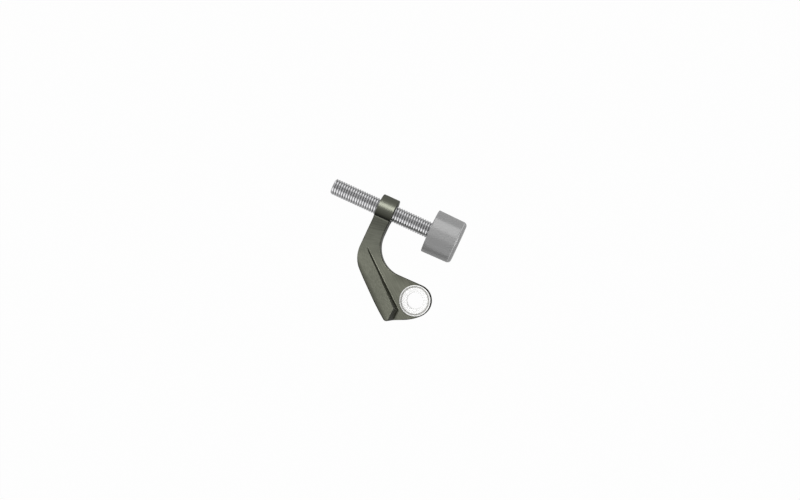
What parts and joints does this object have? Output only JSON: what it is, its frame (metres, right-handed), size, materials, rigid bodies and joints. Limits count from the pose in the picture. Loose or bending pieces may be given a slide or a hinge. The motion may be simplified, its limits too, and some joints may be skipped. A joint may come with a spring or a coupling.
{
  "type": "hinge pin door stop",
  "caption": "Cast metal arm that hangs on a hinge pin, with a wedge heel, a white flanged bush and a rubber bumper on an adjustable threaded rod.",
  "frame": {"origin": "on the axis of the hinge pin's bore, half-way through the thickness of the arm", "axes": "+X along the threaded rod towards the bumper, +Y from the hinge pin towards the rod, +Z along the hinge pin, towards the side that carries the heel and the bush's flange"},
  "size_m": [0.0678, 0.0588, 0.0266],
  "materials": {
    "arm": "brushed antique nickel plate",
    "pin_bush": "white moulded nylon",
    "threaded_rod": "bright zinc plate",
    "bumper": "matt grey rubber"
  },
  "bodies": {
    "arm": {"arm": "arm", "pin_bush": "pin_bush"},
    "bumper": {"bumper": "bumper"},
    "rod": {"threaded_rod": "threaded_rod"}
  },
  "joints": [
    {"name": "rod_advance", "type": "slide", "parent": "arm", "child": "bumper", "axis": [1, 0, 0], "range_m": [-0.0175, 0.0235]},
    {"name": "rod_turn", "type": "hinge", "parent": "bumper", "child": "rod", "pos_m": [0, 0.0338, 0], "axis": [1, 0, 0], "range_deg": [-5040, 6768]}
  ],
  "couplings": [
    {"joint": "rod_advance", "follows": "rod_turn", "m_per_rad": 0.00019894}
  ]
}
